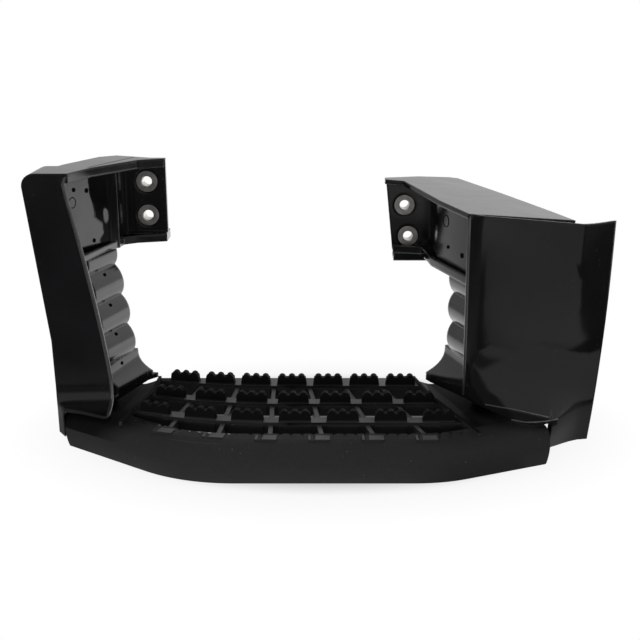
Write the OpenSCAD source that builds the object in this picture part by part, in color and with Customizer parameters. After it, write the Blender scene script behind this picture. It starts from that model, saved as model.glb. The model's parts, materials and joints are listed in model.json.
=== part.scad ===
// Lower cab step: a cleated tread hung between two hollow flexible arms.
// X runs along the step, Y points to the chassis, Z is up, all in millimetres.

/* [Tread] */
// Height of the walking surface above the bottom of the skirt
deck_h = 40; // [38:1:42]
// Length of the straight part of the nose
nose_len = 168; // [164:1:170]
// Radius of the left corner of the skirt
left_r = 149; // [145:1:152]
// Angle by which the left end is swept back
left_sweep = 34.5; // [33:0.5:35.5]
// Length of the straight stretch at the left end
left_len = 103; // [101:1:105]
// Radius of the right corner of the skirt
right_r = 130; // [125:1:135]
// Angle by which the right end is swept back
right_sweep = 22; // [21:0.5:23]
// Length of the straight stretch at the right end
right_len = 85; // [83:1:87]
// Wall thickness of the skirt
skirt_t = 4; // [3.5:0.5:4.5]

/* [Lattice] */
// Depth of a cross bar, seen as pads between the cleats
bar_d = 13; // [12:0.5:14]
// Height of a cross bar
bar_h = 13; // [11:0.5:14]
// Width of a cleat at its foot
cleat_w = 31; // [30:0.5:32]
// Height of a cleat above the cross bar
cleat_h = 11.5; // [10.5:0.5:12]
// Depth of a cleat
cleat_d = 7.5; // [7:0.5:8.5]
// Distance between two bumps of a cleat
bump_pitch = 10; // [9.5:0.5:10]
// Width of the ribs that join the cross bars
rib_w = 4.5; // [4:0.5:5]

/* [Arms] */
// Wall thickness of the arms
wall = 3.5; // [3:0.5:4]
// Height of one bellows bump
bump_z = 31; // [30:1:32]
// Depth of a bellows bump
bump_out = 6; // [5:0.5:7]
// Angle by which the inner walls turn in towards the chassis
wall_turn = 18; // [16:1:20]
// Radius of a steel bush
bush_r = 11; // [10.5:0.5:11.5]
// Radius of the bolt hole through a bush
bolt_r = 5.3; // [5.1:0.1:5.6]

/* [Hidden] */
$fn = 48;
e = 0.01;
foot_z = 44;
sleeve_r = 6;
boss_z = 30;
bush_l = 16;
steel = [0.55, 0.53, 0.5];
black = [0.09, 0.09, 0.095];
// Middle of the whole step in plan, seen from the working origin of the shapes below
middle = [5.35, 13.5];
module place() {
    translate([-middle[0], -middle[1], 0]) children();
}

// Skirt line: where the bottom edge of the skirt turns into its two corners
nose_y = -123;
nose_x0 = -80;
nose_x1 = nose_x0 + nose_len;
left_c = [nose_x0, nose_y + left_r];
right_c = [nose_x1, nose_y + right_r];
left_p = left_c + left_r * [-sin(left_sweep), -cos(left_sweep)];
right_p = right_c + right_r * [sin(right_sweep), -cos(right_sweep)];
left_dir = [-cos(left_sweep), sin(left_sweep)];
right_dir = [cos(right_sweep), sin(right_sweep)];
left_end = left_p + left_len * left_dir;
right_end = right_p + right_len * right_dir;

// Nose section: top edge, foremost point and how far the bottom is drawn in
nose_top = -17;
nose_out = 10;
nose_drop = 18;
lip_back = -22;
apex_z = deck_h - nose_drop;
crown = [for (a = [0 : 15 : 90])
    [nose_top + (nose_out - nose_top) * sin(a), apex_z + nose_drop * cos(a)]];
breast = [for (i = [1 : 6]) [nose_out * (1 - pow(i / 6, 1.6)), apex_z * (1 - i / 6)]];
crown_in = [for (a = [0 : 15 : 90])
    [nose_top + (nose_out - skirt_t - nose_top) * sin(a), apex_z + (nose_drop - skirt_t) * cos(a)]];
breast_in = [for (i = [1 : 6]) [nose_out * (1 - pow(i / 6, 1.6)) - skirt_t, apex_z * (1 - i / 6)]];

module skirt_section() {
    outer = concat([[lip_back, deck_h]], crown, breast);
    inner = concat([[lip_back + skirt_t, deck_h - skirt_t]], crown_in, breast_in);
    difference() {
        polygon(concat(outer, [[lip_back, 0]]));
        polygon(concat(inner, [[breast_in[5][0], -1], [lip_back + skirt_t, -1]]));
        translate([lip_back - 1, -1]) square([skirt_t + 2, deck_h - bar_h]);
    }
}

module nose_section() {
    back = lip_back + skirt_t / 2;
    polygon(concat([[back, deck_h - 1]], [for (i = [1 : 6]) crown[i]], breast, [[back, 0]]));
}

// Extrudes a section along X, its own x pointing out of the step
module run(p, heading, length) {
    translate([p[0], p[1], 0])
        rotate([0, 0, heading])
            rotate([90, 0, 90])
                linear_extrude(length) mirror([1, 0]) children();
}

// Carries a section round a corner, from the nose to the right or, with side -1, to the left
module turn(c, r, side, angle) {
    translate([c[0], c[1], 0])
        mirror([side < 0 ? 1 : 0, 0, 0])
            rotate([0, 0, 270])
                rotate_extrude(angle = angle, $fn = 180) translate([r, 0]) children();
}

module skirt() {
    run([nose_x0, nose_y], 0, nose_len) skirt_section();
    turn(left_c, left_r, -1, left_sweep) skirt_section();
    turn(right_c, right_r, 1, right_sweep) skirt_section();
    run(left_end, -left_sweep, left_len) skirt_section();
    run(right_p, right_sweep, right_len) skirt_section();
    run(left_end, -left_sweep, skirt_t) nose_section();
    run(right_end - skirt_t * right_dir, right_sweep, skirt_t) nose_section();
}

// Rows of cleats, counted from the back: front edge, corner radius, fan of the channels
row_y = [23, -27, -75, -120];
row_r = [600, 480, 440, 400];
bend_x = -30;
function fan(r) = row_y[0] - row_y[r];
function channel_x(r, k) = -29.4 + 0.055 * fan(r) + (37.8 + 0.081 * fan(r)) * (k - 2.5);
function cleat_x(r, j) = channel_x(r, j - 0.5);
function bend(r, x) = x < bend_x ? asin((bend_x - x) / row_r[r]) : 0;
function front_y(r, x) = row_y[r] + row_r[r] * (1 - cos(bend(r, x)));

// Walls that bound the field of cleats, from the back edge to the nose
left_rim = [[-169, 48], [-170, 0], [-179, -36], [-188, -76]];
right_rim = [[98, 48], [109, -2], [125, -46], [146, -103]];
rim_w = 3;
rim_h = 2;
module rim_plan(p, side) {
    polygon(concat(p, [for (i = [3 : -1 : 0]) p[i] + [side * rim_w, 0]]));
}

module cleat_face(sink) {
    half = cleat_w / 2;
    top_half = bump_pitch + 4.5;
    valley = cleat_h - 3;
    polygon([[-half, -sink], [half, -sink], [half, 1], [top_half, valley], [-top_half, valley], [-half, 1]]);
    for (i = [-1 : 1]) {
        translate([i * bump_pitch, cleat_h - 3.6]) circle(r = 3.6);
        translate([i * bump_pitch - 3.6, cleat_h - 6]) square([7.2, 2.4]);
    }
}

// The foot of a cleat stands a little proud of the bar that carries it
proud = 0.5;
module cleat() {
    translate([0, 1, 0]) rotate([90, 0, 0]) mirror([0, 0, 1]) linear_extrude(cleat_d - 1) cleat_face(bar_h - 2);
    translate([-cleat_w / 2, -proud, 1 - bar_h]) cube([cleat_w, 3, bar_h - 4]);
}

module on_row(r, x) {
    translate([x, front_y(r, x), deck_h]) rotate([0, 0, -bend(r, x)]) children();
}

// A cross bar is straight on the right and bends back on the left
module cross_bar(r, depth) {
    reach = bend(r, -200);
    translate([bend_x, row_y[r], deck_h - bar_h]) cube([160 - bend_x, depth, bar_h]);
    translate([bend_x, row_y[r] + row_r[r], deck_h - bar_h])
        rotate([0, 0, 270 - reach])
            rotate_extrude(angle = reach, $fn = 360) translate([row_r[r] - depth, 0]) square([depth, bar_h]);
}

module rib(r, k) {
    x0 = channel_x(r, k);
    x1 = channel_x(r + 1, k);
    y0 = front_y(r, x0) + 1;
    y1 = front_y(r + 1, x1) + bar_d - 1;
    translate([0, 0, deck_h - bar_h])
        linear_extrude(bar_h - 3)
            polygon([[x0 - rib_w / 2, y0], [x0 + rib_w / 2, y0], [x1 + rib_w / 2, y1], [x1 - rib_w / 2, y1]]);
}

field_back = 47;
module field_plan() {
    lap = [rim_w / 2, 0];
    intersection() {
        polygon(concat([for (p = left_rim) p - lap], [[-150, -115], [-80, -130], [100, -130]],
            [for (i = [3 : -1 : 0]) right_rim[i] + lap]));
        translate([-200, -140]) square([400, field_back + 140]);
    }
}

module lattice() {
    intersection() {
        translate([0, 0, deck_h - bar_h - 1]) linear_extrude(bar_h + cleat_h + 2) field_plan();
        union() {
            cross_bar(0, 25);
            cross_bar(1, bar_d);
            cross_bar(2, bar_d);
            for (r = [0 : 2]) {
                for (j = [0 : 6]) on_row(r, cleat_x(r, j)) cleat();
                for (k = [0 : 5]) rib(r, k);
            }
        }
    }
}

// Decks at both ends, under the feet of the arms, with bosses for the screws
left_deck = [left_rim[0], left_rim[1], left_rim[2], left_rim[3], [-200, -62], [-249, -34], [-249, 30], [-205, 48]];
right_deck = [right_rim[0], [205, 48], [215, 20], [215, -66], [190, -74], [160, -88], right_rim[3], right_rim[2], right_rim[1]];
rear_wall = [[-249, -34], [-249, 28], [-205, 46], [205, 46], [215, 18], [215, -66]];
module end_deck(plan, screws) {
    upright(boss_z, boss_z + 3) polygon(plan);
    for (p = screws) translate([p[0], p[1], boss_z]) cylinder(r = 11, h = foot_z - boss_z);
}

// Hollow slope beside a rim, from its top down to the deck
gutter_w = 26;
gutter_z = deck_h - 0.5;
gutter_end = 10;
module gutter(p, side) {
    along = p[0] - p[3];
    lean = atan2(-along[0], along[1]);
    slope = [for (i = [0 : 6]) [side * gutter_w * i / 6, boss_z + 2 + (gutter_z - boss_z - 2) * pow(1 - i / 6, 1.8)]];
    intersection() {
        translate([p[3][0], p[3][1], 0] + gutter_end * [unit(along)[0], unit(along)[1], 0])
            rotate([90, 0, 180 + lean])
                mirror([1, 0, 0])
                    linear_extrude(norm(along) - gutter_end)
                        polygon(concat([[-side * 8, gutter_z]], slope, [[side * gutter_w, boss_z + 1], [-side * 8, boss_z + 1]]));
        upright(boss_z, deck_h + 1) polygon(concat([for (q = p) q + [side, 0]], [p[3] + [side * 50, 0], p[0] + [side * 50, 0]]));
    }
}

// Grooves that turn the crown of the nose into the front row of bumps
module flute(x, aside) {
    translate([x, front_y(3, x), deck_h + 2.6])
        rotate([87, 0, -bend(3, x)])
            translate([aside, 0, -22]) cylinder(r = 2.6, h = 24);
}

module nose_pad(k) {
    x = channel_x(3, k);
    translate([x, front_y(3, x), deck_h - 6]) rotate([0, 0, -bend(3, x)]) translate([-14, 4, -2]) cube([20, bar_d - 3, 8.5]);
}

module tread() color(black) {
    difference() {
        union() {
            intersection() {
                skirt();
                translate([-249, -200, -1]) cube([465, 300, 60]);
            }
            for (k = [0 : 5]) nose_pad(k);
            end_deck(left_deck, left_screws);
            end_deck(right_deck, right_screws);
            gutter(left_rim, -1);
            gutter(right_rim, 1);
            upright(0, boss_z + 3) strip(rear_wall, -skirt_t);
        }
        for (j = [0 : 6]) for (s = [-1.5 : 1.5]) flute(cleat_x(3, j), s * bump_pitch);
        for (p = concat(left_screws, right_screws)) translate([p[0], p[1], boss_z - 1]) cylinder(r = sleeve_r, h = 20);
    }
    lattice();
    for (s = [[left_rim, -1], [right_rim, 1]])
        translate([0, 0, deck_h - bar_h]) linear_extrude(bar_h + rim_h) rim_plan(s[0], s[1]);
}

// Flexible arms: pitch and depth of the bellows, shared by both
bump_arc = (pow(bump_z / 2, 2) + pow(bump_out, 2)) / (2 * bump_out);
function bellows(z) = sqrt(pow(bump_arc, 2) - pow(z - bump_z * (floor(z / bump_z) + 0.5), 2)) - bump_arc + bump_out;

// A wall of even thickness beside a line of plan points, on its left for a positive width
function unit(v) = v / norm(v);
function heading(p, i) = unit(p[min(i + 1, len(p) - 1)] - p[max(i - 1, 0)]);
function beside(p, i, w) = p[i] + w * [-heading(p, i)[1], heading(p, i)[0]];
module strip(p, w) {
    polygon(concat(p, [for (i = [len(p) - 1 : -1 : 0]) beside(p, i, w)]));
}
module upright(z0, z1) {
    translate([0, 0, z0]) linear_extrude(z1 - z0) children();
}
module bore(p, r, y0, y1) {
    translate([p[0], y0, p[1]]) rotate([-90, 0, 0]) cylinder(r = r, h = y1 - y0);
}

// Bellows wall: leans with the lip line x(z), turned about the lip and open at its back
module bellows_wall(line, z0, z1, x0, y0, side, depth) {
    zs = [for (z = [z0 : bump_z / 8 : z1]) z];
    face = [for (i = [0 : len(zs) - 1]) [line[i] + side * (bellows(zs[i] - z0) - 4), zs[i]]];
    back = [for (i = [len(zs) - 1 : -1 : 0]) [face[i][0] - side * wall, zs[i]]];
    translate([x0, y0, 0])
        rotate([0, 0, -side * wall_turn])
            translate([-x0, depth, 0])
                rotate([90, 0, 0])
                    linear_extrude(depth) polygon(concat(face, back));
}

// Concave flare that runs from the lowest valley out over the foot
module foot_flare(x0, y0, side, z0, depth, plan) {
    n = 8;
    curve = [for (i = [0 : n]) [x0 + side * (34 * pow(i / n, 2.2) - 4), z0 + 1 - (z0 - foot_z - 1) * pow(i / n, 0.8)]];
    intersection() {
        translate([x0, y0, 0])
            rotate([0, 0, -side * wall_turn])
                translate([-x0, depth, 0])
                    rotate([90, 0, 0])
                        linear_extrude(depth)
                            polygon(concat(curve, [[curve[n][0], foot_z], [x0 - side * 8, foot_z], [x0 - side * 8, z0 + 1]]));
        upright(foot_z, z0 + 1) polygon(plan);
    }
}

// Left arm
left_y = -25;
left_top = 269;
left_floor = 182;
left_valley = 75;
left_depth = 50;
left_bellows = 56;
function left_lip(z) = z < 60 ? -207 : -207 - 33 * pow((z - 60) / 195, 1.25);
left_outer = [[-268, -22], [-254, 35], [-230, 91], [-214, 102]];
left_roof = [[-236, -25], [-221, 14], [-186, 67], [-161, 78]];
left_sill = [[-226, -25], [-203, 62], [-191, 70], [-161, 78]];
left_web = [[-242, -23], [-214, 41], [-205, 48], [-204, 88]];
left_screws = [[-235, -8], [-218.5, 1], [-229, 19]];
left_foot_plan = [[-260, -23], [-207, -25], [-203, -30], [-180, 30], [-171, 40], [-203, 46], [-258, 25]];
left_bolts = [[-181, 244], [-181, 208.5]];
bolt_face_l = 86;

// Rounded top corner of the left arm
left_corner = [for (a = [90 : 15 : 180]) [-267.5 + 12 * cos(a), left_top - 12 + 12 * sin(a)]];

module left_front() {
    lip = [for (z = [40 : 15 : 265]) [left_lip(z), z]];
    translate([0, left_y + 4, 0])
        rotate([90, 0, 0])
            linear_extrude(4)
                polygon(concat(lip, [[-241, left_top]], left_corner, [[-263, 105], [-262, 40]]));
}

module left_side() {
    corner = [for (i = [6 : -1 : 0]) left_corner[i]];
    outline = concat([[-262, 40], [-263, 105]], corner, [[-254, left_top]]);
    translate([0, left_y + left_depth, 0]) rotate([90, 0, 0]) linear_extrude(left_depth - 2) strip(outline, -wall);
}

module left_head() {
    upright(left_top - 4, left_top) polygon(concat(left_roof, [for (i = [3 : -1 : 0]) left_outer[i]]));
    upright(left_top - 9, left_top) strip(left_roof, 3.5);
    upright(left_floor, left_floor + 8) strip(left_sill, 3.5);
    upright(left_floor, left_floor + wall) polygon(concat(left_sill, [[-161, 102], [-204, 102], [-218, 41], [-244, -22]]));
    upright(left_floor, left_top - 2) strip(left_web, 3.5);
    upright(left_floor, left_top - 2) strip([[-266, 20], left_outer[1], left_outer[2], left_outer[3]], -wall);
    translate([-207, bolt_face_l, left_floor]) cube([46, 6, left_top - left_floor - 1]);
    translate([-207, 78, left_floor]) cube([46, 24, 9]);
    for (b = left_bolts) bore(b, 14, bolt_face_l, bolt_face_l + 16);
}

module left_foot() {
    upright(foot_z, foot_z + 5) polygon(left_foot_plan);
    foot_flare(-207, left_y + 3, 1, left_valley, left_depth + 14,
        [[-212, -25], [-207, -25], [-203, -30], [-180, 30], [-171, 40], [-200, 44], [-212, 0]]);
    // toe that sweeps out over the skirt, and leg that wraps round its end
    sweep = [for (a = [0 : 15 : 90]) [-41 + 16 * cos(a), 60 - 16 * sin(a)]];
    intersection() {
        translate([-262, 0, 0])
            rotate([90, 0, 90]) linear_extrude(62) polygon(concat([[-21, 60]], sweep, [[-72, 43], [-72, 40.5], [-21, 40.5]]));
        upright(40, 61) polygon([[-262, -20], [-262, -26], [-258.5, -38], [-250, -49], [-232, -55], [-207, -68], [-203, -68], [-202, -64], [-207, -20]]);
    }
    arch = [for (a = [0 : 15 : 90]) [-242 - 8 * cos(a), 35 + 8 * sin(a)]];
    intersection() {
        translate([0, -20, 0]) rotate([90, 0, 0]) linear_extrude(32) polygon(concat([[-260, 15], [-250, 14]], arch, [[-260, 43]]));
        upright(10, 50) polygon([[-258.5, -38], [-250, -49], [-240, -53], [-240, -20], [-260, -20]]);
    }
}

module left_arm() color(black) {
    difference() {
        union() {
            left_front();
            left_side();
            left_head();
            left_foot();
            bellows_wall([for (z = [left_valley : bump_z / 8 : left_floor + 2]) left_lip(z)],
                left_valley, left_floor + 2, left_lip(110), left_y + 3, 1, left_bellows);
        }
        for (b = left_bolts) {
            bore(b, bush_r, bolt_face_l - 1, bolt_face_l + 20);
            bore(b, bush_r + 1.5, bolt_face_l - 1, bolt_face_l + 1);
        }
        for (s = left_screws) translate([s[0], s[1], foot_z - 1]) cylinder(r = sleeve_r, h = 8);
    }
}

// Right arm
right_floor = 160;
right_valley = 80;
right_depth = 50;
right_bellows = 40;
right_roof = [[141, -20], [119, 30], [90, 120], [70, 121]];
right_sill = [[142, -20], [116, 58], [110, 112], [80, 120]];
right_web = [[148, -18], [122, 58], [121, 128]];
right_outer = [[205, -14], [198, 35], [170, 90], [146, 144]];
right_screws = [[166, -4], [190, -4], [178, 20]];
right_bolts = [[92.5, 211.5], [97, 177]];
bolt_face_r = 128;
right_top = 236;
roof_fall = 4.5;
roof_rise = 2;

// Front panel: its rolled left edge, the reach of the flare, the height of its edges, and the fin
function roll(x) = 4 * (1 - pow(1 - min(1, max(0, x - 144) / 13), 2));
function flare(x) = x < 200 ? 62 * sin(90 * max(0, x - 144) / 56) : 14 + 48 * pow(cos(90 * min(1, (x - 200) / 72)), 2);
function swell(z) = z > 95 ? 0 : z > 35 ? 0.5 + 0.5 * cos(3 * (z - 35)) : 1 - 0.35 * pow((35 - z) / 35, 1.5);
function fin(x, z) = max(0, x - 251) * 0.665 * z / 219;
function panel_y(x, z) = -19 - roll(x) - flare(x) * swell(z) + fin(x, z);
function panel_low(x) =
    x < 165 ? 44 : x < 190 ? 44 - 2 * (x - 165) / 25 : x < 218 ? 42 - 0.07 * (x - 190) : 9 - 4 * (x - 218) / 52;
function panel_high(x) = 230 - 10.5 * min(1, (x - 142) / 109);
panel_x = [144, 146, 148.5, 151.5, 155, 159, 164, 171, 178, 185, 192, 199, 205, 211, 217.9, 218.5, 224, 231, 239, 248, 258, 270];
rows = 20;
function panel_at(i, v) =
    let (foot = panel_low(panel_x[i]),
         z = v < 0.3 ? foot + (60 - foot) * v / 0.3 : 60 + (panel_high(panel_x[i]) - 60) * (v - 0.3) / 0.7,
         rise = (z - 5) / 215,
         aside = panel_x[i] - 144,
         x = panel_x[i] + rise * (aside * 0.158 - 2) + aside * 0.017 * sin(180 * rise) - 4.5 * pow(aside / 126, 4) * swell(z))
    [x, panel_y(x, z), z];
function panel_normal(p) =
    unit([panel_y(p[0] - 0.5, p[2]) - panel_y(p[0] + 0.5, p[2]), 1, panel_y(p[0], p[2] - 0.5) - panel_y(p[0], p[2] + 0.5)]);

module front_panel() {
    n = len(panel_x);
    m = rows + 1;
    face = [for (i = [0 : n - 1]) for (j = [0 : rows]) panel_at(i, j / rows)];
    back = [for (p = face) p + wall * panel_normal(p)];
    function at(i, j, s) = s * n * m + i * m + j;
    quads = concat(
        [for (i = [0 : n - 2]) for (j = [0 : rows - 1]) [at(i, j, 0), at(i, j + 1, 0), at(i + 1, j + 1, 0), at(i + 1, j, 0)]],
        [for (i = [0 : n - 2]) for (j = [0 : rows - 1]) [at(i, j, 1), at(i + 1, j, 1), at(i + 1, j + 1, 1), at(i, j + 1, 1)]],
        [for (i = [0 : n - 2]) [at(i, 0, 0), at(i + 1, 0, 0), at(i + 1, 0, 1), at(i, 0, 1)]],
        [for (i = [0 : n - 2]) [at(i, rows, 1), at(i + 1, rows, 1), at(i + 1, rows, 0), at(i, rows, 0)]],
        [for (j = [0 : rows - 1]) [at(0, j, 1), at(0, j + 1, 1), at(0, j + 1, 0), at(0, j, 0)]],
        [for (j = [0 : rows - 1]) [at(n - 1, j, 0), at(n - 1, j + 1, 0), at(n - 1, j + 1, 1), at(n - 1, j, 1)]]);
    polyhedron(concat(face, back), [for (q = quads) for (t = [[q[0], q[1], q[2]], [q[0], q[2], q[3]]]) t]);
}

// The roof falls towards the end of the step and rises towards the chassis
module under_roof() {
    translate([142, -20, 230]) rotate([roof_rise, roof_fall, 0]) translate([-142, 20, -5]) children();
}

module right_head() {
    under_roof()
        linear_extrude(5)
            polygon(concat(right_roof, [[70, 132], [108, 155], [144, 165], [154, 163], [191, 97], [229, 22], [245, -12]]));
    intersection() {
        union() {
            upright(right_floor, right_top + 20) strip(right_web, -3.5);
            upright(right_floor, right_top + 20) strip(right_outer, wall);
            translate([0, bolt_face_r + 6, 0])
                rotate([90, 0, 0]) linear_extrude(6) polygon([[70, 256], [124, 256], [124, 152], [81, 152]]);
        }
        under_roof() translate([50, -40, -100]) cube([220, 240, 102]);
    }
    upright(right_floor, right_floor + 8) strip(right_sill, -3.5);
    upright(right_floor, right_floor + wall) polygon(concat(right_sill, [[80, 140], [124, 140], [122, 58], [148, -18]]));
    translate([81, 120, 151]) cube([43, 24, 15]);
    for (b = right_bolts) bore(b, 14, bolt_face_r, bolt_face_r + 16);
}

module right_foot() {
    upright(foot_z, foot_z + 5) polygon([[144, -20], [115, 24], [111, 32], [150, 40], [204, 36], [206, -14]]);
    foot_flare(144, -18, -1, right_valley, right_depth + 8, [[144, -20], [115, 24], [111, 32], [140, 38], [148, -16]]);
}

module right_arm() color(black) {
    difference() {
        union() {
            front_panel();
            right_head();
            right_foot();
            bellows_wall([for (z = [right_valley : bump_z / 8 : right_floor + 2]) 144],
                right_valley, right_floor + 2, 144, -18, -1, right_bellows);
            upright(foot_z, right_floor + 2) strip([[205, -14], [203, 36]], wall);
        }
        for (b = right_bolts) {
            bore(b, bush_r, bolt_face_r - 1, bolt_face_r + 20);
            bore(b, bush_r + 1.5, bolt_face_r - 1, bolt_face_r + 1);
        }
        for (s = right_screws) translate([s[0], s[1], foot_z - 1]) cylinder(r = sleeve_r, h = 8);
    }
}

// Steel bushes, screws, sleeves and nuts
module bush(p, y) color(steel) {
    difference() {
        union() {
            bore(p, bush_r, y, y + bush_l);
        }
        bore(p, bolt_r, y - 1, y + bush_l + 1);
        translate([p[0], y - e, p[1]]) rotate([-90, 0, 0]) cylinder(r1 = bolt_r + 1, r2 = bolt_r, h = 1);
    }
}

module screw(p) color(steel) {
    translate([p[0], p[1], boss_z - 1.5]) cylinder(r = 9, h = 1.5);
    translate([p[0], p[1], boss_z - 7]) cylinder(r = 6.5 / cos(30), h = 5.5, $fn = 6);
    translate([p[0], p[1], boss_z - e]) cylinder(r = 4, h = foot_z + 5 + 8 - boss_z);
}

module sleeve(p) color(steel) {
    translate([p[0], p[1], boss_z])
        difference() {
            cylinder(r = sleeve_r, h = foot_z + 5 - boss_z);
            translate([0, 0, -1]) cylinder(r = 4, h = foot_z + 7 - boss_z);
        }
}

module nut(p) color(steel) {
    translate([p[0], p[1], foot_z + 5])
        difference() {
            union() {
                cylinder(r = 9, h = 1.5);
                cylinder(r = 6.5 / cos(30), h = 7, $fn = 6);
            }
            translate([0, 0, -1]) cylinder(r = 4, h = 9);
        }
}

place() tread();
place() left_arm();
place() right_arm();
place() bush(left_bolts[0], bolt_face_l);  // left_bush_upper
place() bush(left_bolts[1], bolt_face_l);  // left_bush_lower
place() bush(right_bolts[0], bolt_face_r);  // right_bush_upper
place() bush(right_bolts[1], bolt_face_r);  // right_bush_lower
place() screw(left_screws[0]);  // left_screw_outer
place() sleeve(left_screws[0]);  // left_sleeve_outer
place() nut(left_screws[0]);  // left_nut_outer
place() screw(left_screws[1]);  // left_screw_inner
place() sleeve(left_screws[1]);  // left_sleeve_inner
place() nut(left_screws[1]);  // left_nut_inner
place() screw(left_screws[2]);  // left_screw_rear
place() sleeve(left_screws[2]);  // left_sleeve_rear
place() nut(left_screws[2]);  // left_nut_rear
place() screw(right_screws[0]);  // right_screw_outer
place() sleeve(right_screws[0]);  // right_sleeve_outer
place() nut(right_screws[0]);  // right_nut_outer
place() screw(right_screws[1]);  // right_screw_inner
place() sleeve(right_screws[1]);  // right_sleeve_inner
place() nut(right_screws[1]);  // right_nut_inner
place() screw(right_screws[2]);  // right_screw_rear
place() sleeve(right_screws[2]);  // right_sleeve_rear
place() nut(right_screws[2]);  // right_nut_rear
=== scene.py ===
import json
import math

import bpy
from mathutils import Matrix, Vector

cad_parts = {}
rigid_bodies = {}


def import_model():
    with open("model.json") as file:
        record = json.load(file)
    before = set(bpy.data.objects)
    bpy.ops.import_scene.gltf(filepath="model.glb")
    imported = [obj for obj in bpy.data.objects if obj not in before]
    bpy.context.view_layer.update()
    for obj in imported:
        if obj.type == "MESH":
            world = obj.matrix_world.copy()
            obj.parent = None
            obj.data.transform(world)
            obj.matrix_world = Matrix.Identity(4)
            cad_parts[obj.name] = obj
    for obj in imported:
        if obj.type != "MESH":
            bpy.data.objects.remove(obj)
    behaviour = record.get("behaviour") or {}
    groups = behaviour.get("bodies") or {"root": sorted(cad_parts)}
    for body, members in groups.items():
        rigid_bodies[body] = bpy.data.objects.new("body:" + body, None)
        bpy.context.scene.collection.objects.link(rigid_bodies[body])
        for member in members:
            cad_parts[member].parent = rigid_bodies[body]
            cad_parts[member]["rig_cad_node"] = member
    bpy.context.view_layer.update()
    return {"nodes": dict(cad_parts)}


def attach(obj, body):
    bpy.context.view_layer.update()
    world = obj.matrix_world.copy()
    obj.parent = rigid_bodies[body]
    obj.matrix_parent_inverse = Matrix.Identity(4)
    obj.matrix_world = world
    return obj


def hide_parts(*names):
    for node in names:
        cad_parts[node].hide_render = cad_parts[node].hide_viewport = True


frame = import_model()
nodes = frame["nodes"]
scene = bpy.context.scene

FLOAT = "NodeSocketFloat"
MM = 0.001

# Forms of the solids that finishes and details follow. The solids are shown in metres
TREAD_TOP = 0.0402
RIBS_LOWER = 0.0032
LATTICE_LEFT, LATTICE_RIGHT = -0.158, 0.108
LEFT_WEB_FACING = (0.92, -0.40, 0)
RIGHT_WEB_FACING = (-0.95, -0.32, 0)
LEFT_WEB_OFFSET = 0.2129

# Upper edge of the leaf on the right arm, in millimetres
LEAF_TOP = [(155.3, -61.4, 47.6), (165.9, -73.2, 49.8), (176.8, -81.5, 51.1), (187.1, -87.1, 50.8),
    (197.1, -89.8, 49.4), (208.8, -89.1, 46.2), (222.3, -81.5, 40.8)]


# Shader helpers
def tree_of(name):
    material = bpy.data.materials.new(name)
    material.use_nodes = True
    tree = material.node_tree
    return material, tree, tree.nodes["Principled BSDF"]


def add(tree, kind, **values):
    node = tree.nodes.new(kind)
    for key, value in values.items():
        if hasattr(node, key):
            setattr(node, key, value)
        else:
            node.inputs[key.replace("_", " ")].default_value = value
    return node


def link(tree, start, end):
    tree.links.new(start, end)


def maths(tree, operation, first, second=None, third=None, clamp=False):
    node = tree.nodes.new("ShaderNodeMath")
    node.operation = operation
    node.use_clamp = clamp
    for place, value in enumerate((first, second, third)):
        if value is None:
            continue
        if isinstance(value, (int, float)):
            node.inputs[place].default_value = value
        else:
            link(tree, value, node.inputs[place])
    return node.outputs[0]


def product(tree, first, *others):
    for other in others:
        first = maths(tree, "MULTIPLY", first, other)
    return first


def largest(tree, first, *others):
    for other in others:
        first = maths(tree, "MAXIMUM", first, other)
    return first


def between(tree, value, low, high):
    """1 where the value lies between the two numbers, else 0."""
    return product(tree, maths(tree, "GREATER_THAN", value, low), maths(tree, "LESS_THAN", value, high))


def without(tree, mask):
    return maths(tree, "SUBTRACT", 1.0, mask)


def centred(tree, value):
    """Brings a direction or a place, -1 to 1, into the range 0 to 1 of a ramp."""
    return maths(tree, "MULTIPLY_ADD", value, 0.5, 0.5)


def ramp(tree, value, stops):
    """Value or colour over a value: (position, number or colour) pairs."""
    node = tree.nodes.new("ShaderNodeValToRGB")
    elements = node.color_ramp.elements
    while len(elements) > len(stops):
        elements.remove(elements[-1])
    while len(elements) < len(stops):
        elements.new(1.0)
    for place, (spot, color) in enumerate(stops):
        elements[place].position = spot
        elements[place].color = (color, color, color, 1) if isinstance(color, (int, float)) else (*color, 1)
    link(tree, value, node.inputs[0])
    return node.outputs[0]


def tinted(tree, mask, under, over):
    """One colour, turned into another where the mask is 1. A Mix node has its colours at 6 and 7."""
    node = add(tree, "ShaderNodeMix", data_type="RGBA")
    link(tree, mask, node.inputs[0])
    link(tree, under, node.inputs[6])
    if isinstance(over, tuple):
        node.inputs[7].default_value = (*over, 1)
    else:
        link(tree, over, node.inputs[7])
    return node.outputs[2]


def position(tree):
    """The coordinate node, and the object coordinates one by one."""
    source = add(tree, "ShaderNodeTexCoord")
    parts = add(tree, "ShaderNodeSeparateXYZ")
    link(tree, source.outputs["Object"], parts.inputs[0])
    return source, parts.outputs["X"], parts.outputs["Y"], parts.outputs["Z"]


def group(name, inputs, outputs):
    tree = bpy.data.node_groups.new(name, "ShaderNodeTree")
    for key, value in inputs:
        socket = tree.interface.new_socket(name=key, in_out="INPUT", socket_type=FLOAT)
        socket.default_value = value
    for key in outputs:
        tree.interface.new_socket(name=key, in_out="OUTPUT", socket_type=FLOAT)
    return tree, tree.nodes.new("NodeGroupInput"), tree.nodes.new("NodeGroupOutput")


def use(tree, shared, **values):
    node = tree.nodes.new("ShaderNodeGroup")
    node.node_tree = shared
    for key, value in values.items():
        node.inputs[key.replace("_", " ")].default_value = value
    return node


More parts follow.
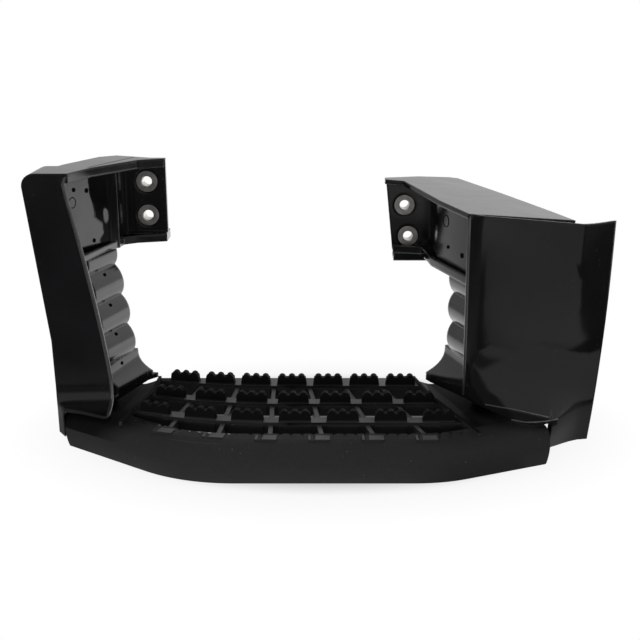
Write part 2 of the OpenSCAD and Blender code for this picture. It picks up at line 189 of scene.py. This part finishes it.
# Shared masks, in object coordinates, with their limits in metres
def moulded_surface():
    """Broad sink and flow marks, fine grain and stray dust of a moulding."""
    tree, given, result = group("moulded_surface",
        [("Broad Scale", 9.0), ("Grain Scale", 900.0), ("Dust", 0.3)], ["Broad", "Grain", "Dust"])
    source = add(tree, "ShaderNodeTexCoord")
    broad = add(tree, "ShaderNodeTexNoise", Detail=2.0, Roughness=0.5)
    link(tree, source.outputs["Object"], broad.inputs["Vector"])
    link(tree, given.outputs["Broad Scale"], broad.inputs["Scale"])
    grain = add(tree, "ShaderNodeTexNoise", Detail=3.0, Roughness=0.6)
    link(tree, source.outputs["Object"], grain.inputs["Vector"])
    link(tree, given.outputs["Grain Scale"], grain.inputs["Scale"])
    specks = add(tree, "ShaderNodeTexVoronoi", Scale=260.0)
    link(tree, source.outputs["Object"], specks.inputs["Vector"])
    small = maths(tree, "LESS_THAN", specks.outputs["Distance"], 0.11)
    chance = tree.nodes.new("ShaderNodeSeparateColor")
    link(tree, specks.outputs["Color"], chance.inputs[0])
    rare = maths(tree, "GREATER_THAN", chance.outputs[0], 0.93)
    link(tree, broad.outputs["Fac"], result.inputs["Broad"])
    link(tree, grain.outputs["Fac"], result.inputs["Grain"])
    link(tree, product(tree, small, rare, given.outputs["Dust"]), result.inputs["Dust"])
    return tree


def bowed_web():
    """The rear part of the left web, which bows to the front, but for a drop-shaped flat."""
    tree, given, result = group("bowed_web", [("Spread", 0.004)], ["Mask"])
    source, x, y, z = position(tree)
    wave = add(tree, "ShaderNodeTexNoise", Scale=70.0, Detail=2.0)
    link(tree, source.outputs["Object"], wave.inputs["Vector"])
    ripple = maths(tree, "MULTIPLY_ADD", wave.outputs["Fac"], 0.008, -0.004)
    # Way along the web, and height over its plane
    face_x, face_y, _ = LEFT_WEB_FACING
    along = maths(tree, "MULTIPLY_ADD", x, -face_y, ripple)
    along = maths(tree, "ADD", along, maths(tree, "MULTIPLY", y, face_x))
    plane = maths(tree, "MULTIPLY_ADD", x, face_x, LEFT_WEB_OFFSET)
    plane = maths(tree, "ADD", plane, maths(tree, "MULTIPLY", y, face_y))
    thin = maths(tree, "LESS_THAN", maths(tree, "ABSOLUTE", plane), 0.0016)
    # Front edge of the bowed part by height, in tenths of a metre past -0.1 along the web
    edge = ramp(tree, maths(tree, "MULTIPLY", z, 3.0),
        [(0.585, 0.19), (0.603, 0.27), (0.633, 0.24), (0.66, 0.14), (0.70, 0.11), (0.75, 0.08)])
    past = maths(tree, "SUBTRACT", maths(tree, "ADD", along, 0.1), maths(tree, "MULTIPLY", edge, 0.1))
    part = maths(tree, "DIVIDE", past, given.outputs["Spread"], clamp=True)
    # The drop lies at -0.066 along the web and 0.218 up, and is taller than wide
    where = add(tree, "ShaderNodeCombineXYZ")
    link(tree, maths(tree, "MULTIPLY_ADD", along, 137.0, 9.04), where.inputs[0])
    link(tree, maths(tree, "MULTIPLY_ADD", z, 92.0, -20.06), where.inputs[1])
    drop = add(tree, "ShaderNodeVectorMath", operation="LENGTH")
    link(tree, where.outputs[0], drop.inputs[0])
    outside = maths(tree, "SUBTRACT", drop.outputs["Value"], 0.55, clamp=True)
    outside = maths(tree, "MULTIPLY", outside, 3.0, clamp=True)
    link(tree, product(tree, part, thin, outside), result.inputs["Mask"])
    return tree


def leaf_hollow():
    """The leaf-shaped hollow low on the front of the right arm."""
    tree, given, result = group("leaf_hollow", [("Sharpness", 60.0)], ["Mask"])
    _, x, y, z = position(tree)
    # Upper edge: x from 0.15 on and z, both in tenths of a metre. The hollow ends a little under the tip
    stops = [((px - 150) / 100, pz / 100) for px, _, pz in LEAF_TOP[:-1]] + [(0.723, 0.40)]
    top = ramp(tree, maths(tree, "MULTIPLY_ADD", x, 10.0, -1.5), stops)
    under = maths(tree, "SUBTRACT", top, maths(tree, "MULTIPLY", z, 10.0))
    under = maths(tree, "MULTIPLY", under, given.outputs["Sharpness"], clamp=True)
    ends = between(tree, x, 0.15, 0.2215)
    front = product(tree, maths(tree, "LESS_THAN", y, -0.04), maths(tree, "GREATER_THAN", z, 0.036))
    link(tree, product(tree, under, ends, front), result.inputs["Mask"])
    return tree


def tread_zones():
    """Flat tops of the lattice, lighter and smoother, and painted shade on the cleats and end decks."""
    tree, given, result = group("tread_zones", [("Top Height", TREAD_TOP)], ["Tops", "Painted Shade"])
    source, x, y, z = position(tree)
    up = add(tree, "ShaderNodeSeparateXYZ")
    link(tree, source.outputs["Normal"], up.inputs[0])
    level = maths(tree, "GREATER_THAN", up.outputs["Z"], 0.93)
    rising = maths(tree, "GREATER_THAN", up.outputs["Z"], 0.25)
    field = between(tree, x, LATTICE_LEFT, LATTICE_RIGHT)
    above = maths(tree, "SUBTRACT", z, given.outputs["Top Height"])
    pads = maths(tree, "LESS_THAN", maths(tree, "ABSOLUTE", above), 0.0007)
    ribs = maths(tree, "ABSOLUTE", maths(tree, "ADD", above, RIBS_LOWER))
    ribs = maths(tree, "LESS_THAN", ribs, 0.0006)
    crown = product(tree, maths(tree, "LESS_THAN", y, -0.098), between(tree, z, 0.0385, 0.0403))
    tops = product(tree, maths(tree, "MAXIMUM", pads, ribs), without(tree, crown), field, level)
    # Painted shade: the cleats, over the top height, and the end decks beside the lattice and behind the
    # skirt
    cleats = ramp(tree, maths(tree, "MULTIPLY", z, 10.0), [(0.409, 0.0), (0.42, 1.0)])
    behind_skirt = ramp(tree, maths(tree, "ADD", y, 0.5), [(0.395, 0.0), (0.415, 1.0)])
    ends = product(tree, maths(tree, "GREATER_THAN", z, 0.006), rising, behind_skirt, without(tree, field))
    link(tree, tops, result.inputs["Tops"])
    link(tree, maths(tree, "MAXIMUM", cleats, ends), result.inputs["Painted Shade"])
    return tree


moulded = moulded_surface()
bowed = bowed_web()
zones = tread_zones()
leaf = leaf_hollow()


# Materials
def grain_normal(tree, shader, height, strength, distance, edge=0.0):
    """Bumps, over edges that are rounded a little where an edge radius is given."""
    bump = add(tree, "ShaderNodeBump", Strength=strength, Distance=distance)
    if edge:
        bevel = add(tree, "ShaderNodeBevel", samples=6, Radius=edge)
        link(tree, bevel.outputs[0], bump.inputs["Normal"])
    link(tree, height, bump.inputs["Height"])
    link(tree, bump.outputs[0], shader.inputs["Normal"])
    return bump.outputs[0]


def gloss_plastic():
    material, tree, shader = tree_of("arm_gloss_black")
    surface = use(tree, moulded, Broad_Scale=14.0, Grain_Scale=500.0, Dust=0.5)
    base = ramp(tree, surface.outputs["Broad"], [(0.3, (0.004, 0.004, 0.0045)), (0.7, (0.007, 0.007, 0.008))])
    base = tinted(tree, surface.outputs["Dust"], base, (0.12, 0.12, 0.12))
    link(tree, base, shader.inputs["Base Color"])
    link(tree, ramp(tree, surface.outputs["Broad"], [(0.3, 0.1), (0.7, 0.17)]), shader.inputs["Roughness"])
    # Painted shade: the hollow of the leaf mirrors less, so that it reads darker than the panel
    hollow = use(tree, leaf, Sharpness=60.0)
    shine = maths(tree, "MULTIPLY_ADD", hollow.outputs["Mask"], -0.42, 0.5)
    link(tree, shine, shader.inputs["Specular IOR Level"])
    height = maths(tree, "MULTIPLY", surface.outputs["Grain"], 0.02)
    height = maths(tree, "ADD", surface.outputs["Broad"], height)
    normal = grain_normal(tree, shader, height, strength=0.25, distance=0.003, edge=0.003)
    # The bowed part of the left web faces further left and to the front than its flat solid
    bend = use(tree, bowed, Spread=0.004)
    tilt = add(tree, "ShaderNodeVectorMath", operation="SCALE")
    tilt.inputs[0].default_value = (-0.12, -0.2, 0)
    link(tree, bend.outputs["Mask"], tilt.inputs["Scale"])
    turned = add(tree, "ShaderNodeVectorMath", operation="ADD")
    link(tree, normal, turned.inputs[0])
    link(tree, tilt.outputs[0], turned.inputs[1])
    unit = add(tree, "ShaderNodeVectorMath", operation="NORMALIZE")
    link(tree, turned.outputs[0], unit.inputs[0])
    link(tree, unit.outputs[0], shader.inputs["Normal"])
    return material


def matte_plastic():
    material, tree, shader = tree_of("tread_matte_black")
    surface = use(tree, moulded, Broad_Scale=20.0, Grain_Scale=1500.0, Dust=0.6)
    zone = use(tree, zones, Top_Height=TREAD_TOP)
    tops, painted_shade = zone.outputs["Tops"], zone.outputs["Painted Shade"]
    base = ramp(tree, surface.outputs["Grain"], [(0.3, (0.013, 0.013, 0.014)), (0.7, (0.028, 0.028, 0.029))])
    base = tinted(tree, surface.outputs["Dust"], base, (0.16, 0.16, 0.155))
    # Painted shade: the cleats and end decks get a near-black colour
    base = tinted(tree, painted_shade, base, (0.005, 0.005, 0.0055))
    base = tinted(tree, tops, base, (0.05, 0.051, 0.056))
    link(tree, base, shader.inputs["Base Color"])
    rough = ramp(tree, surface.outputs["Broad"], [(0.3, 0.52), (0.7, 0.62)])
    link(tree, maths(tree, "MULTIPLY_ADD", tops, -0.12, rough), shader.inputs["Roughness"])
    # Painted shade: the cleats and end decks also reflect less
    shine = maths(tree, "MULTIPLY_ADD", painted_shade, -0.12, 0.17)
    link(tree, maths(tree, "MULTIPLY_ADD", tops, 0.25, shine), shader.inputs["Specular IOR Level"])
    grain_normal(tree, shader, surface.outputs["Grain"], strength=0.35, distance=0.0003, edge=0.0007)
    return material


def steel(name, tint):
    material, tree, shader = tree_of(name)
    surface = use(tree, moulded, Broad_Scale=160.0, Grain_Scale=2200.0, Dust=0.0)
    worn = tuple(0.72 * part for part in tint)
    link(tree, ramp(tree, surface.outputs["Broad"], [(0.3, worn), (0.7, tint)]), shader.inputs["Base Color"])
    shader.inputs["Metallic"].default_value = 1.0
    link(tree, ramp(tree, surface.outputs["Grain"], [(0.3, 0.3), (0.7, 0.5)]), shader.inputs["Roughness"])
    grain_normal(tree, shader, surface.outputs["Grain"], strength=0.3, distance=0.0002, edge=0.0004)
    return material


def mark_black():
    """Dull black of the pin marks and rings."""
    material, tree, shader = tree_of("mark_dull_black")
    surface = use(tree, moulded, Broad_Scale=80.0, Grain_Scale=1800.0, Dust=0.0)
    base = ramp(tree, surface.outputs["Grain"], [(0.3, 0.001), (0.7, 0.004)])
    link(tree, base, shader.inputs["Base Color"])
    link(tree, ramp(tree, surface.outputs["Broad"], [(0.3, 0.8), (0.7, 0.95)]), shader.inputs["Roughness"])
    shader.inputs["Specular IOR Level"].default_value = 0.05
    grain_normal(tree, shader, surface.outputs["Grain"], strength=0.3, distance=0.0002)
    return material


def edge_black():
    """Painted highlight along the edges: the same plastic, lighter in colour and with a higher IOR than the
    faces, so that the edges shine.
    """
    material, tree, shader = tree_of("edge_painted_highlight_black")
    surface = use(tree, moulded, Broad_Scale=60.0, Grain_Scale=1400.0, Dust=0.1)
    # Painted highlight: a base colour several times lighter than the faces of the arm
    base = ramp(tree, surface.outputs["Broad"], [(0.3, (0.02, 0.02, 0.021)), (0.7, (0.032, 0.032, 0.034))])
    link(tree, base, shader.inputs["Base Color"])
    link(tree, ramp(tree, surface.outputs["Grain"], [(0.3, 0.22), (0.7, 0.34)]), shader.inputs["Roughness"])
    shader.inputs["IOR"].default_value = 2.3
    grain_normal(tree, shader, surface.outputs["Grain"], strength=0.2, distance=0.0002)
    return material


arm_plastic = gloss_plastic()
tread_plastic = matte_plastic()
bush_steel = steel("bush_worn_steel", (0.78, 0.75, 0.71))
screw_steel = steel("screw_zinc_steel", (0.5, 0.5, 0.5))
for name, obj in nodes.items():
    finish = screw_steel
    if name.endswith("arm"):
        finish = arm_plastic
    elif name == "tread":
        finish = tread_plastic
    elif "bush" in name:
        finish = bush_steel
    for slot in obj.material_slots:
        slot.material = finish


# Mouldings: copies of the CAD nodes with merged triangles, their round faces shaded smooth
def only(o):
    bpy.ops.object.select_all(action="DESELECT")
    o.select_set(True)
    bpy.context.view_layer.objects.active = o


def moulding(node, angle):
    o = nodes[node].copy()
    o.data = nodes[node].data.copy()
    o.name = node + "_moulding"
    del o["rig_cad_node"]
    o.parent = None
    scene.collection.objects.link(o)
    only(o)
    bpy.ops.object.mode_set(mode="EDIT")
    bpy.ops.mesh.select_all(action="SELECT")
    bpy.ops.mesh.remove_doubles(threshold=2e-6)
    bpy.ops.object.mode_set(mode="OBJECT")
    bpy.ops.mesh.customdata_custom_splitnormals_clear()
    bpy.ops.object.shade_smooth_by_angle(angle=math.radians(angle), keep_sharp_edges=False)
    weights = o.modifiers.new("weights", "WEIGHTED_NORMAL")
    weights.keep_sharp = True
    bpy.ops.object.modifier_apply(modifier=weights.name)
    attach(o, "root")
    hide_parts(node)


moulding("left_arm", 32)
moulding("right_arm", 28)
moulding("tread", 32)


# Surface details of the arms, given in millimetres in the frame of the solids
def mm(point):
    return Vector(point) * MM


def facing(normal):
    return Vector(normal).to_track_quat("Z", "Y").to_euler()


def finish_piece(o, name, material, angle):
    only(o)
    o.name = name
    bpy.ops.object.transform_apply(location=True, rotation=True, scale=True)
    bpy.ops.object.mode_set(mode="EDIT")
    bpy.ops.mesh.select_all(action="SELECT")
    bpy.ops.mesh.normals_make_consistent(inside=False)
    bpy.ops.object.mode_set(mode="OBJECT")
    bpy.ops.object.shade_smooth_by_angle(angle=math.radians(angle))
    o.data.materials.clear()
    o.data.materials.append(material)
    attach(o, "root")


def bead(name, points, radius):
    """A rounded bead along an edge: a small disc carried on from point to point."""
    points = [mm(point) for point in points]
    bpy.ops.mesh.primitive_circle_add(vertices=12, radius=radius * MM, fill_type="NGON",
        location=points[0], rotation=facing(points[-1] - points[0]))
    o = bpy.context.object
    bpy.ops.object.mode_set(mode="EDIT")
    bpy.ops.mesh.select_all(action="SELECT")
    for here, there in zip(points, points[1:]):
        bpy.ops.mesh.extrude_region_move(TRANSFORM_OT_translate={"value": there - here})
    bpy.ops.object.mode_set(mode="OBJECT")
    rounding = o.modifiers.new("rounding", "BEVEL")
    rounding.width = 0.3 * radius * MM
    rounding.segments = 2
    rounding.limit_method = "ANGLE"
    rounding.angle_limit = math.radians(50)
    bpy.ops.object.modifier_apply(modifier=rounding.name)
    # The bead carries the painted highlight of the edge material
    finish_piece(o, name, painted_highlight_edge, 40)


def dish(at, normal, radius):
    """Mark of an ejector pin: a low disc that stands on the face, with a sunk middle."""
    bpy.ops.mesh.primitive_cylinder_add(vertices=24, radius=radius * MM, depth=0.6 * MM,
        location=mm(at) + 0.3 * MM * Vector(normal), rotation=facing(normal))
    o = bpy.context.object
    for face in o.data.polygons:
        face.select = face.normal.z > 0.9
    bpy.ops.object.mode_set(mode="EDIT")
    bpy.ops.mesh.select_mode(type="FACE")
    bpy.ops.mesh.inset(thickness=0.2 * radius * MM)
    bpy.ops.mesh.extrude_region_shrink_fatten(TRANSFORM_OT_shrink_fatten={"value": -0.3 * MM})
    bpy.ops.object.mode_set(mode="OBJECT")
    return o


def ring(at, normal, radius, thick):
    """Witness line of a mould insert: a low, flattened ring."""
    bpy.ops.mesh.primitive_torus_add(major_radius=radius * MM, minor_radius=thick * MM, major_segments=48,
        minor_segments=8, location=mm(at), rotation=facing(normal))
    o = bpy.context.object
    bpy.ops.object.mode_set(mode="EDIT")
    bpy.ops.mesh.select_all(action="SELECT")
    bpy.ops.transform.resize(value=(1, 1, 0.6), orient_type="LOCAL")
    bpy.ops.object.mode_set(mode="OBJECT")
    return o


def marks(name, made):
    bpy.ops.object.select_all(action="DESELECT")
    for o in made:
        o.select_set(True)
    bpy.context.view_layer.objects.active = made[0]
    bpy.ops.object.join()
    finish_piece(made[0], name, dull, 30)


def left_lip(z):
    """Inner edge of the left front plate: upright up to z 60, from there out by 33 at z 255."""
    return -212.35 - 33 * max(0.0, (z - 60) / 195) ** 1.25


dull = mark_black()
painted_highlight_edge = edge_black()
lip_top = [(-238.5, -37.4, 267), (-243.5, -37.6, 265.5), (-245.8, -37.6, 259)]
lip_side = [(left_lip(z), -37.6, z) for z in range(245, 60, -15)]
lip_foot = [(-212.2, -38.5, 60), (-211.8, -40, 52), (-211.2, -45, 46.5), (-210, -58, 44.2), (-208.6, -78, 43)]
bead("left_arm_lip", lip_top + lip_side + lip_foot, radius=2.0)

panel_edge = [(138.9, -31.6, 46), (138.6, -31.8, 70), (138.2, -31.8, 110), (137.7, -31.8, 150),
    (137.2, -31.8, 190), (136.8, -31.6, 228)]
bead("right_arm_lip", panel_edge, radius=1.8)

leaf_low = [(176, -89.5, 43.4), (188, -94.8, 42.8), (198.3, -95, 43.2), (209.6, -90.9, 42.6), LEAF_TOP[-1]]
bead("right_arm_leaf_top", LEAF_TOP, radius=0.8)
bead("right_arm_leaf_low", leaf_low, radius=0.8)

# Pin marks and rings: place, the way the face there looks, radius and, of a ring, thickness
marks("left_arm_marks", [
    dish((-240.3, -20.4, 250.8), LEFT_WEB_FACING, 2.1),
    dish((-232.4, -2.3, 247.2), LEFT_WEB_FACING, 2.4),
    dish((-229.6, 4.2, 196.2), LEFT_WEB_FACING, 2.1),
    ring((-241.6, -23.4, 238.9), LEFT_WEB_FACING, 5.0, 0.5),
    dish((-219.1, -5.8, 163.7), (0.80, -0.26, 0.54), 1.8),
    dish((-214.6, -8.4, 133.1), (0.71, -0.23, 0.67), 1.8),
    dish((-210.6, -9.2, 103.0), (0.71, -0.23, 0.66), 1.8),
    dish((-207.0, -7.2, 71.3), (0.95, -0.31, 0.06), 1.8)])
marks("right_arm_marks", [
    dish((124.3, 22.0, 185.5), RIGHT_WEB_FACING, 1.8),
    dish((134.5, -7.8, 183.6), RIGHT_WEB_FACING, 2.6),
    ring((122.1, 28.4, 211.0), RIGHT_WEB_FACING, 6.0, 0.45)])


# Floor: white to the camera but for the shadow of the step. Reflections show pale cards on a darker floor
FLOOR_UNDER_SKIRT = 0.5 * MM


def seen_in_gloss(tree, x, y):
    """Brightness of the floor in reflections."""
    distance = maths(tree, "MAXIMUM", maths(tree, "MULTIPLY", y, -1.0), 0.01)
    # White floor behind the step, which begins further back on the right
    beside = ramp(tree, x, [(0.1, 0.0), (0.25, 0.2)])
    behind = maths(tree, "SUBTRACT", maths(tree, "ADD", y, 0.5), beside)
    behind = ramp(tree, behind, [(0.42, 0.0), (0.55, 1.0)])
    across = product(tree, ramp(tree, centred(tree, x), [(0.3, 0.42), (0.62, 1.0)]), 1.7)
    inner = ramp(tree, maths(tree, "ADD", x, 0.5), [(0.2, 0.62), (0.31, 1.0)])
    back = product(tree, behind, across, inner)
    # Card in front of the right arm. Its left edge bends to the right close to the step
    lane = maths(tree, "ADD", x, maths(tree, "MULTIPLY", y, 0.17))
    bent = ramp(tree, distance, [(0.2, 0.024), (0.4, 0.012), (0.48, 0.002)])
    curved = maths(tree, "SUBTRACT", lane, bent)
    left_edge = ramp(tree, curved, [(0.140, 0.0), (0.150, 1.0)])
    right_edge = ramp(tree, lane, [(0.47, 1.0), (0.54, 0.0)])
    depth = ramp(tree, distance, [(0.17, 0.3), (0.3, 0.5), (0.6, 0.40), (1.0, 0.36)])
    card = product(tree, left_edge, right_edge, depth)
    # Glow close in front of the skirt
    glow = ramp(tree, distance, [(0.17, 0.5), (0.3, 0.14), (0.8, 0.08)])
    wide = [(0.22, 0.5), (0.3, 0.7), (0.42, 1.0), (0.57, 1.0), (0.62, 0.3)]
    near = product(tree, glow, ramp(tree, maths(tree, "ADD", x, 0.5), wide))
    # Strip further off, to the right of the middle
    strip = ramp(tree, x, [(0.02, 0.0), (0.05, 0.5), (0.38, 0.5), (0.42, 0.0)])
    strip = product(tree, strip, ramp(tree, distance, [(0.84, 0.0), (0.9, 1.0)]))
    # Far floor by its bearing, dark from the left to straight ahead
    bearing = maths(tree, "MULTIPLY_ADD", maths(tree, "DIVIDE", x, distance), 0.25, 0.5)
    horizon = ramp(tree, bearing, [(0.27, 0.45), (0.3, 0.06), (0.51, 0.06), (0.53, 0.45)])
    far_away = ramp(tree, maths(tree, "MULTIPLY", distance, 0.25), [(0.33, 0.0), (0.45, 1.0)])
    # A Mix node has its numbers at 2 and 3
    front = add(tree, "ShaderNodeMix")
    link(tree, far_away, front.inputs[0])
    link(tree, largest(tree, card, near, strip), front.inputs[2])
    link(tree, horizon, front.inputs[3])
    return maths(tree, "MAXIMUM", front.outputs[0], back)


def floor_material():
    material, tree, shader = tree_of("floor_pale")
    out = tree.nodes["Material Output"]
    tree.nodes.remove(shader)
    source, x, y, _ = position(tree)
    path = add(tree, "ShaderNodeLightPath")
    lit = add(tree, "ShaderNodeBsdfDiffuse")
    lit.inputs["Color"].default_value = (0.93, 0.93, 0.93, 1)
    white = add(tree, "ShaderNodeEmission", Strength=1.0)
    white.inputs["Color"].default_value = (1, 1, 1, 1)
    cards = add(tree, "ShaderNodeEmission", Strength=1.0)
    link(tree, seen_in_gloss(tree, x, y), cards.inputs["Color"])

    def mixed(mask, first, second):
        node = add(tree, "ShaderNodeMixShader")
        link(tree, mask, node.inputs[0])
        link(tree, first.outputs[0], node.inputs[1])
        link(tree, second.outputs[0], node.inputs[2])
        return node

    # Ellipse round the step, past which the camera sees plain white
    shrunk = add(tree, "ShaderNodeVectorMath", operation="MULTIPLY")
    link(tree, source.outputs["Object"], shrunk.inputs[0])
    shrunk.inputs[1].default_value = (3.3, 5.0, 1.0)
    away = add(tree, "ShaderNodeVectorMath", operation="LENGTH")
    link(tree, shrunk.outputs[0], away.inputs[0])
    far = ramp(tree, maths(tree, "MULTIPLY", away.outputs["Value"], 0.25),
        [(0.11, 0.1), (0.16, 0.45), (0.2, 0.9), (0.27, 1.0)])
    shown = mixed(path.outputs["Is Camera Ray"], lit, mixed(far, lit, white))
    floor_look = mixed(path.outputs["Is Glossy Ray"], shown, cards)
    link(tree, floor_look.outputs[0], out.inputs["Surface"])
    return material


bpy.ops.mesh.primitive_plane_add(size=60, location=(0, 0, -FLOOR_UNDER_SKIRT))
floor = bpy.context.object
floor.name = "floor"
floor.data.materials.append(floor_material())


# World: white to the camera, soft light from the horizon for rough surfaces, cards for reflections
def studio_world():
    world = bpy.data.worlds.new("studio")
    world.use_nodes = True
    tree = world.node_tree
    source = add(tree, "ShaderNodeTexCoord")
    side = add(tree, "ShaderNodeSeparateXYZ")
    link(tree, source.outputs["Generated"], side.inputs[0])
    x, y, z = (centred(tree, side.outputs[axis]) for axis in "XYZ")
    back_light = ramp(tree, y, [(0.5, 0.0), (0.85, 1.0)])
    back_light = product(tree, back_light, ramp(tree, x, [(0.36, 0.55), (0.62, 1.0)]))
    # Dim to the left of straight ahead, where the left toe would mirror a light band
    dimmed = ramp(tree, y, [(0.08, 0.2), (0.16, 1.0)])
    dimmed = largest(tree, dimmed, ramp(tree, x, [(0.46, 0.0), (0.51, 1.0)]))
    front_light = product(tree, ramp(tree, x, [(0.12, 0.06), (0.18, 0.45)]), dimmed)
    top_light = ramp(tree, z, [(0.8, 0.0), (0.93, 0.4)])
    path = add(tree, "ShaderNodeLightPath")
    sky = ramp(tree, z, [(0.5, 0.95), (0.62, 0.35), (0.8, 0.12)])
    mirrored = largest(tree, back_light, front_light, top_light)
    seen = tinted(tree, path.outputs["Is Glossy Ray"], sky, mirrored)
    seen = tinted(tree, path.outputs["Is Camera Ray"], seen, (1, 1, 1))
    link(tree, seen, tree.nodes["Background"].inputs["Color"])
    return world


def softbox(name, at, look, size, energy):
    """A soft lamp that lights the faces but isn't mirrored in them."""
    lamp = bpy.data.lights.new(name, "AREA")
    lamp.shape = "RECTANGLE"
    lamp.size, lamp.size_y = size
    lamp.energy = energy
    o = bpy.data.objects.new(name, lamp)
    scene.collection.objects.link(o)
    o.location = at
    o.rotation_euler = (Vector(look) - Vector(at)).to_track_quat("-Z", "Y").to_euler()
    o.visible_glossy = False


scene.world = studio_world()
softbox("key_above", at=(-0.2, 0.1, 1.9), look=(0, 0, 0.1), size=(1.6, 1.2), energy=8)
softbox("fill_front", at=(-0.45, -1.25, 0.16), look=(-0.05, 0, 0.04), size=(1.2, 0.3), energy=9)

# Camera of the photograph, 17 degrees down from level
CAMERA_AT = (-0.00535, -0.9685, 0.411)
CAMERA_DOWN = 17
optics = bpy.data.cameras.new("camera")
optics.lens = 56.25
optics.sensor_width = 36
camera = bpy.data.objects.new("camera", optics)
scene.collection.objects.link(camera)
camera.location = CAMERA_AT
camera.rotation_euler = (math.radians(90 - CAMERA_DOWN), 0, 0)
scene.camera = camera
scene.view_settings.view_transform = "Standard"
